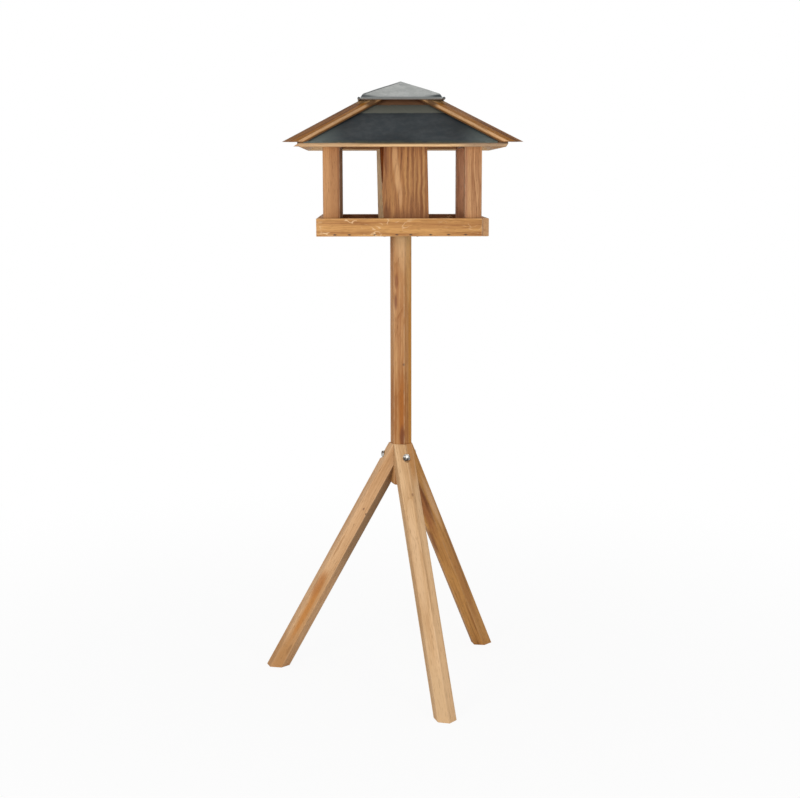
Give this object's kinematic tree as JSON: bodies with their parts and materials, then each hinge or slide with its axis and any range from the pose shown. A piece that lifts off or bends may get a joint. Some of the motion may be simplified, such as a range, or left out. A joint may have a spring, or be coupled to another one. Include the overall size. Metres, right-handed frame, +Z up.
{
  "type": "bird table",
  "caption": "Square roofed feeding tray on a hexagonal mast with three splayed hexagonal legs; pyramid roof of slates with boarded hips and a folded metal cap.",
  "frame": {"origin": "On the ground under the middle of the part's bounding box. The mast's axis stands 37 mm to +X and 34 mm to +Y of it, because the three legs don't fill their box evenly.", "axes": "+Z is up along the mast, the longest extent. -Y is the front, the side that faces the camera in the picture; +X is to the right of it. The tray, house and roof are square to X and Y; the legs stand at 17, 137 and 257 degrees round the mast, counted anticlockwise from -Y."},
  "size_m": [0.563, 0.5572, 1.3432],
  "materials": {
    "mast_oak": "planed oak, oiled, medium brown",
    "leg_oak": "planed oak, oiled, pale",
    "tray_oak": "planed oak boards, oiled, golden brown",
    "house_oak": "planed and waney oak, oiled",
    "roof_oak": "planed oak boards, oiled, slightly darker",
    "slate": "riven natural slate, matt, blue-grey",
    "cap_metal": "folded grey sheet metal, satin, slightly weathered",
    "fixing_steel": "bright stainless steel"
  },
  "bodies": {
    "root": {"mast": "mast_oak", "leg_front": "leg_oak", "leg_left": "leg_oak", "leg_back": "leg_oak", "leg_washer_front": "fixing_steel", "leg_bolt_front": "fixing_steel", "leg_washer_left": "fixing_steel", "leg_bolt_left": "fixing_steel", "leg_washer_back": "fixing_steel", "leg_bolt_back": "fixing_steel", "mast_plate": "fixing_steel", "mast_screw": "fixing_steel", "floor_screw_1": "fixing_steel", "floor_screw_2": "fixing_steel", "floor_screw_3": "fixing_steel", "floor_screw_4": "fixing_steel", "floor_board_1": "tray_oak", "floor_board_2": "tray_oak", "floor_board_3": "tray_oak", "floor_board_4": "tray_oak", "tray_rim_front": "tray_oak", "tray_rim_right": "tray_oak", "tray_rim_back": "tray_oak", "tray_rim_left": "tray_oak", "corner_post_front_left": "house_oak", "corner_post_front_right": "house_oak", "corner_post_back_right": "house_oak", "corner_post_back_left": "house_oak", "house_panel_front": "house_oak", "house_panel_right": "house_oak", "house_panel_back": "house_oak", "house_panel_left": "house_oak", "top_rail_front": "house_oak", "top_rail_right": "house_oak", "top_rail_back": "house_oak", "top_rail_left": "house_oak", "roof_board_front": "roof_oak", "roof_board_right": "roof_oak", "roof_board_back": "roof_oak", "roof_board_left": "roof_oak", "slate_front": "slate", "slate_right": "slate", "slate_back": "slate", "slate_left": "slate", "hip_board_front_left": "roof_oak", "hip_board_front_right": "roof_oak", "hip_board_back_right": "roof_oak", "hip_board_back_left": "roof_oak", "cap_block": "roof_oak", "cap_sheet": "cap_metal", "cap_nail_front": "fixing_steel", "cap_nail_right": "fixing_steel", "cap_nail_back": "fixing_steel", "cap_nail_left": "fixing_steel"}
  },
  "joints": []
}
